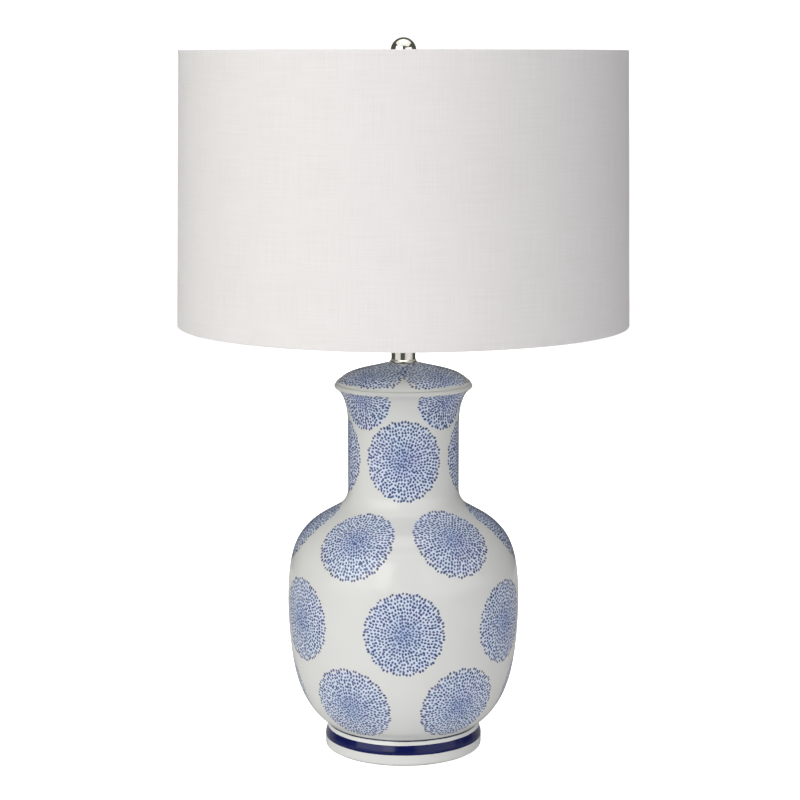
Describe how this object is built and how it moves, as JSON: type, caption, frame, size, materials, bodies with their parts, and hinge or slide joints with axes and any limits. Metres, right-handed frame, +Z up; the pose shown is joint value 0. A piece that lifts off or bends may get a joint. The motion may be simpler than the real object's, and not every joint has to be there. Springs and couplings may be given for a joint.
{
  "type": "table lamp",
  "caption": "Table lamp with a glazed ceramic ginger jar base, lid and foot, nickel neck, harp, socket and bulb under a linen drum shade with a ball finial.",
  "frame": {"origin": "on the table, at the centre of the foot", "axes": "+Z up along the lamp, -Y to the front as pictured, +Y to the back where the cord leaves"},
  "size_m": [0.4063, 0.4064, 0.648],
  "materials": {
    "glaze": "gloss",
    "nickel": "polished",
    "steel": "satin",
    "brass": "satin",
    "felt": "matte",
    "rubber": "matte",
    "bushing": "matte",
    "insulation": "matte",
    "moulding": "satin",
    "bulb_glass": "satin",
    "aluminium": "satin",
    "solder": "matte",
    "linen": "matte",
    "styrene": "satin",
    "white_wire": "satin"
  },
  "bodies": {
    "base": {"jar_body": "glaze", "jar_lid": "glaze", "base_felt": "felt", "base_gasket": "rubber", "base_washer": "steel", "lock_washer": "steel", "bottom_nut": "brass", "cord_bushing": "bushing", "threaded_rod": "steel", "neck_gasket": "rubber", "neck_ring": "nickel", "neck_tube": "nickel", "neck_cap": "nickel", "harp_saddle": "nickel", "saddle_nut": "brass", "socket_cap": "nickel", "socket_set_screw": "steel", "socket_shell": "nickel", "socket_liner": "insulation", "socket_body": "moulding", "terminal_screws": "brass", "screw_shell": "brass", "centre_contact": "brass"},
    "harp": {"harp_bow": "nickel"},
    "ferrule_right": {"harp_ferrule_right": "nickel"},
    "ferrule_left": {"harp_ferrule_left": "nickel"},
    "harp_stud": {"harp_stud": "nickel"},
    "shade": {"spider_hub": "white_wire", "spider_arms": "white_wire", "shade_top_ring": "white_wire", "shade_bottom_ring": "white_wire", "shade_liner": "styrene", "shade_linen": "linen"},
    "finial_insert": {"finial_base": "nickel"},
    "finial": {"finial_ball": "nickel"},
    "bulb_contact": {"bulb_contact": "solder"},
    "bulb": {"bulb_insulator": "moulding", "bulb_screw_base": "aluminium", "bulb_glass": "bulb_glass"},
    "switch": {"switch_shaft": "moulding", "switch_knob": "moulding"}
  },
  "joints": [
    {"name": "harp_lift", "type": "slide", "parent": "base", "child": "harp", "axis": [0, 0, 1], "range_m": [0, 0.022]},
    {"name": "ferrule_right_lift", "type": "slide", "parent": "harp", "child": "ferrule_right", "axis": [0, 0, 1], "range_m": [0, 0.022]},
    {"name": "ferrule_left_lift", "type": "slide", "parent": "harp", "child": "ferrule_left", "axis": [0, 0, 1], "range_m": [0, 0.022]},
    {"name": "shade_swivel", "type": "hinge", "parent": "harp", "child": "harp_stud", "pos_m": [0, 0, 0.6079], "axis": [0, 0, 1], "continuous": true},
    {"name": "shade_lift", "type": "slide", "parent": "harp_stud", "child": "shade", "axis": [0, 0, 1], "range_m": [0, 0.26]},
    {"name": "finial_lift", "type": "slide", "parent": "shade", "child": "finial_insert", "axis": [0, 0, 1], "range_m": [0, 0.0085]},
    {"name": "finial_turn", "type": "hinge", "parent": "finial_insert", "child": "finial", "pos_m": [0, 0, 0.635], "axis": [0, 0, 1], "range_deg": [0, 3240]},
    {"name": "bulb_lift", "type": "slide", "parent": "base", "child": "bulb_contact", "axis": [0, 0, 1], "range_m": [0, 0.0182]},
    {"name": "bulb_turn", "type": "hinge", "parent": "bulb_contact", "child": "bulb", "pos_m": [0, 0, 0.45], "axis": [0, 0, 1], "range_deg": [0, 1800]},
    {"name": "switch_turn", "type": "hinge", "parent": "base", "child": "switch", "pos_m": [0, -0.02, 0.4218], "axis": [0, -1, 0], "continuous": true}
  ],
  "couplings": [
    {"joint": "finial_lift", "follows": "finial_turn", "m_per_rad": 0.00014972},
    {"joint": "bulb_lift", "follows": "bulb_turn", "m_per_rad": 0.00057757}
  ]
}
